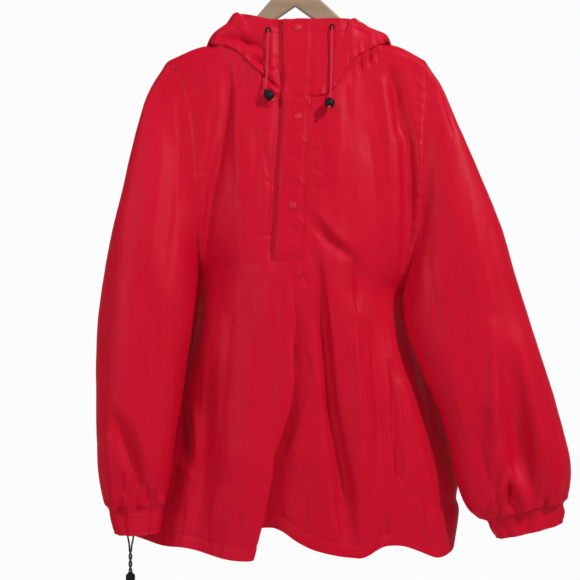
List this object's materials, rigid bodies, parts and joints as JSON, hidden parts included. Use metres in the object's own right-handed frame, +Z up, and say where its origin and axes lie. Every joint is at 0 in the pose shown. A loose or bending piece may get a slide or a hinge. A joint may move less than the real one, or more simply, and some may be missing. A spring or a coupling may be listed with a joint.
{
  "type": "anorak pullover on a hanger",
  "caption": "Red nylon anorak pullover with a snapped half placket, hood down and gathered cuffs, hanging on a wooden clothes hanger.",
  "frame": {"origin": "underside of the top of the hanger's hook, where it rests on a rail", "axes": "+Z up, +X to the wearer's left, -Y the way the garment's front faces"},
  "size_m": [0.7334, 0.2289, 1.0288],
  "materials": {
    "red_nylon": "soft sheen, fine plain weave",
    "red_plastic": "moulded snap caps",
    "red_cord": "braided cord",
    "black_cord": "elastic cord",
    "black_plastic": "satin",
    "hanger_wood": "clear varnish",
    "hook_steel": "polished wire"
  },
  "bodies": {
    "root": {"back": "red_nylon", "cord_knot_left": "red_cord", "cord_knot_right": "red_cord", "cord_lock_left": "black_plastic", "cord_lock_right": "black_plastic", "cuff_left": "red_nylon", "cuff_right": "red_nylon", "eyelet_left": "black_plastic", "eyelet_right": "black_plastic", "front": "red_nylon", "hanger": "hanger_wood", "hem_cord_a": "black_cord", "hem_cord_b": "black_cord", "hem_cord_lock": "black_plastic", "hood_cord_left": "red_cord", "hood_cord_right": "red_cord", "hood_left": "red_nylon", "hood_right": "red_nylon", "hook": "hook_steel", "placket_flap": "red_nylon", "pocket_welt_left": "red_nylon", "pocket_welt_right": "red_nylon", "sleeve_left": "red_nylon", "sleeve_right": "red_nylon", "snap_1": "red_plastic", "snap_2": "red_plastic", "snap_3": "red_plastic"}
  },
  "joints": []
}
